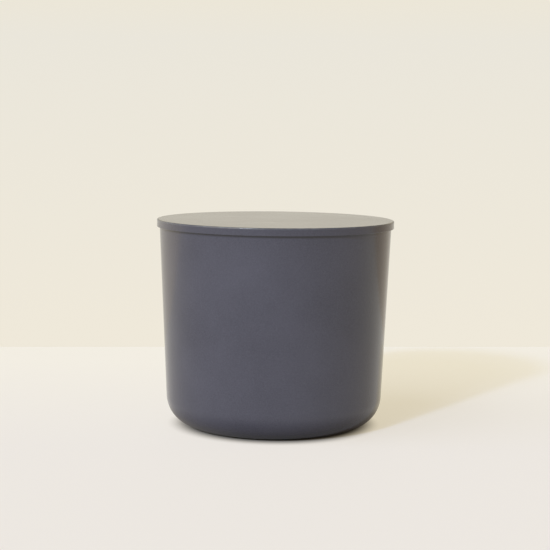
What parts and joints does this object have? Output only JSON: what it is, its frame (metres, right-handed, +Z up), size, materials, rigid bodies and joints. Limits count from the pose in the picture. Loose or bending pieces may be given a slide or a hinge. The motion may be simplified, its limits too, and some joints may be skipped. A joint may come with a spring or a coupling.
{
  "type": "lidded candle tin",
  "caption": "Round wax candle in a lightly tapered steel tin with a rounded base corner, closed by a flat plug lid on a soft seal ring.",
  "frame": {"origin": "centre of the base, on the surface that the tin stands on", "axes": "+Z up along the tin's own axis; -Y faces the viewer, and one wick stands towards +Y"},
  "size_m": [0.102, 0.102, 0.089],
  "materials": {
    "slate_paint": "matte powder coat with a fine even grain",
    "tinplate": "satin lacquered tinplate",
    "wax": "smooth poured vegetable wax, slightly translucent",
    "wick_cotton": "flat braided cotton, waxed",
    "wick_paper": "twisted paper core",
    "sticker_foam": "double-sided foam dot",
    "silicone": "soft satin silicone, slightly translucent",
    "label_paper": "uncoated paper with a printed border and plain rules"
  },
  "bodies": {
    "tin": {"tin_body": "slate_paint", "base_label": "label_paper", "wax_fill": "wax", "wick_braid_1": "wick_cotton", "wick_braid_2": "wick_cotton", "wick_braid_3": "wick_cotton", "wick_core_1": "wick_paper", "wick_core_2": "wick_paper", "wick_core_3": "wick_paper", "wick_tab_1": "tinplate", "wick_tab_2": "tinplate", "wick_tab_3": "tinplate", "tab_sticker_1": "sticker_foam", "tab_sticker_2": "sticker_foam", "tab_sticker_3": "sticker_foam"},
    "seal": {"lid_seal": "silicone"},
    "lid": {"lid_cap": "slate_paint", "lid_pan": "tinplate"}
  },
  "joints": [
    {"name": "lid_lift", "type": "slide", "parent": "tin", "child": "seal", "axis": [0, 0, 1], "range_m": [0, 0.08]},
    {"name": "lid_turn", "type": "hinge", "parent": "seal", "child": "lid", "pos_m": [0, 0, 0.0863], "axis": [0, 0, 1], "continuous": true}
  ]
}
